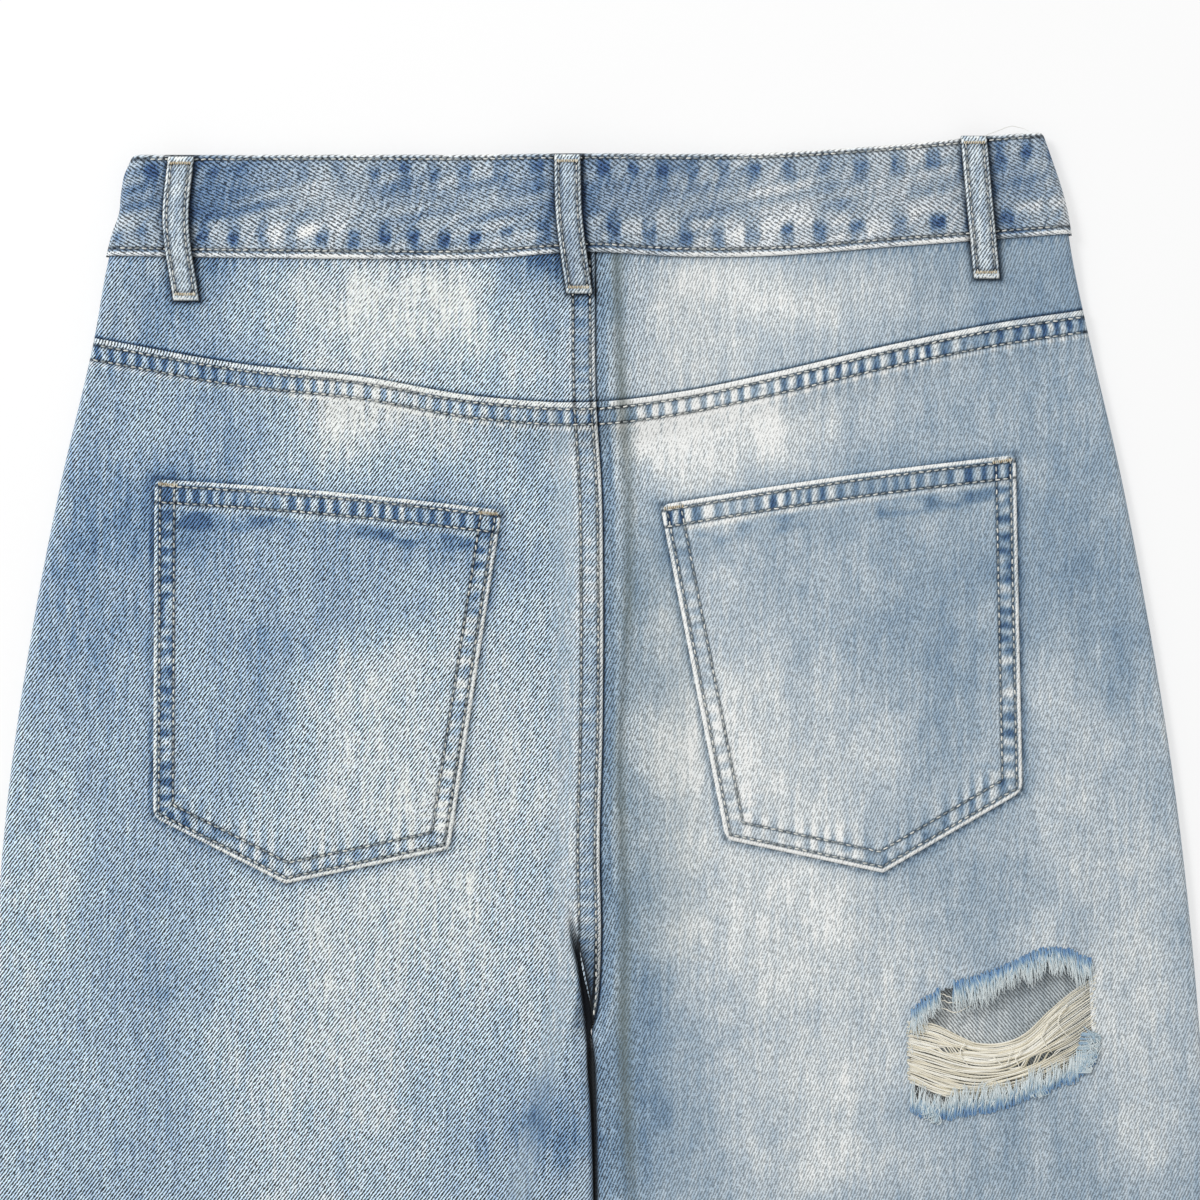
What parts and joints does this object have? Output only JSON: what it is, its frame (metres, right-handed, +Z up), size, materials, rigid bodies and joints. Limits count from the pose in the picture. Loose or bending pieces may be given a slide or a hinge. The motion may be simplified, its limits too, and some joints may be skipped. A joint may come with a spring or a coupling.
{
  "type": "ripped jeans",
  "caption": "Light stone-washed jeans with a ripped back leg, laid flat face down: yokes, patch pockets, belt loops, waistband and a buttoned zip fly.",
  "frame": {"origin": "centre of the footprint on the surface that the jeans lie on", "axes": "+Y towards the waist, +Z up out of the garment's back, -X the wearer's left"},
  "size_m": [0.546, 1.0914, 0.0208],
  "materials": {
    "back_denim": "stone-washed denim, light blue, matt",
    "yoke_denim": "faded stone-washed denim, paler blue, matt",
    "front_denim": "stone-washed denim, light blue, matt",
    "band_denim": "mid-blue washed denim, matt",
    "pocket_denim": "stone-washed denim, light blue, matt",
    "loop_denim": "pale washed denim, matt",
    "weft_cotton": "undyed cream cotton threads",
    "warp_cotton": "frayed light blue cotton threads",
    "brass": "antique brass, satin",
    "tape_cotton": "navy woven tape"
  },
  "bodies": {
    "root": {"back_panel_left": "back_denim", "back_panel_right": "back_denim", "yoke_left": "yoke_denim", "yoke_right": "yoke_denim", "front_panel_left": "front_denim", "front_panel_right": "front_denim", "waistband": "band_denim", "pocket_left": "pocket_denim", "pocket_right": "pocket_denim", "belt_loop_back_left": "loop_denim", "belt_loop_back_center": "loop_denim", "belt_loop_back_right": "loop_denim", "belt_loop_front_left": "loop_denim", "belt_loop_front_right": "loop_denim", "fly_button": "brass", "fly_zip_slider": "brass", "fly_zip_tape": "tape_cotton", "rip_weft_threads": "weft_cotton", "rip_fringe_upper": "warp_cotton", "rip_fringe_lower": "warp_cotton"}
  },
  "joints": []
}
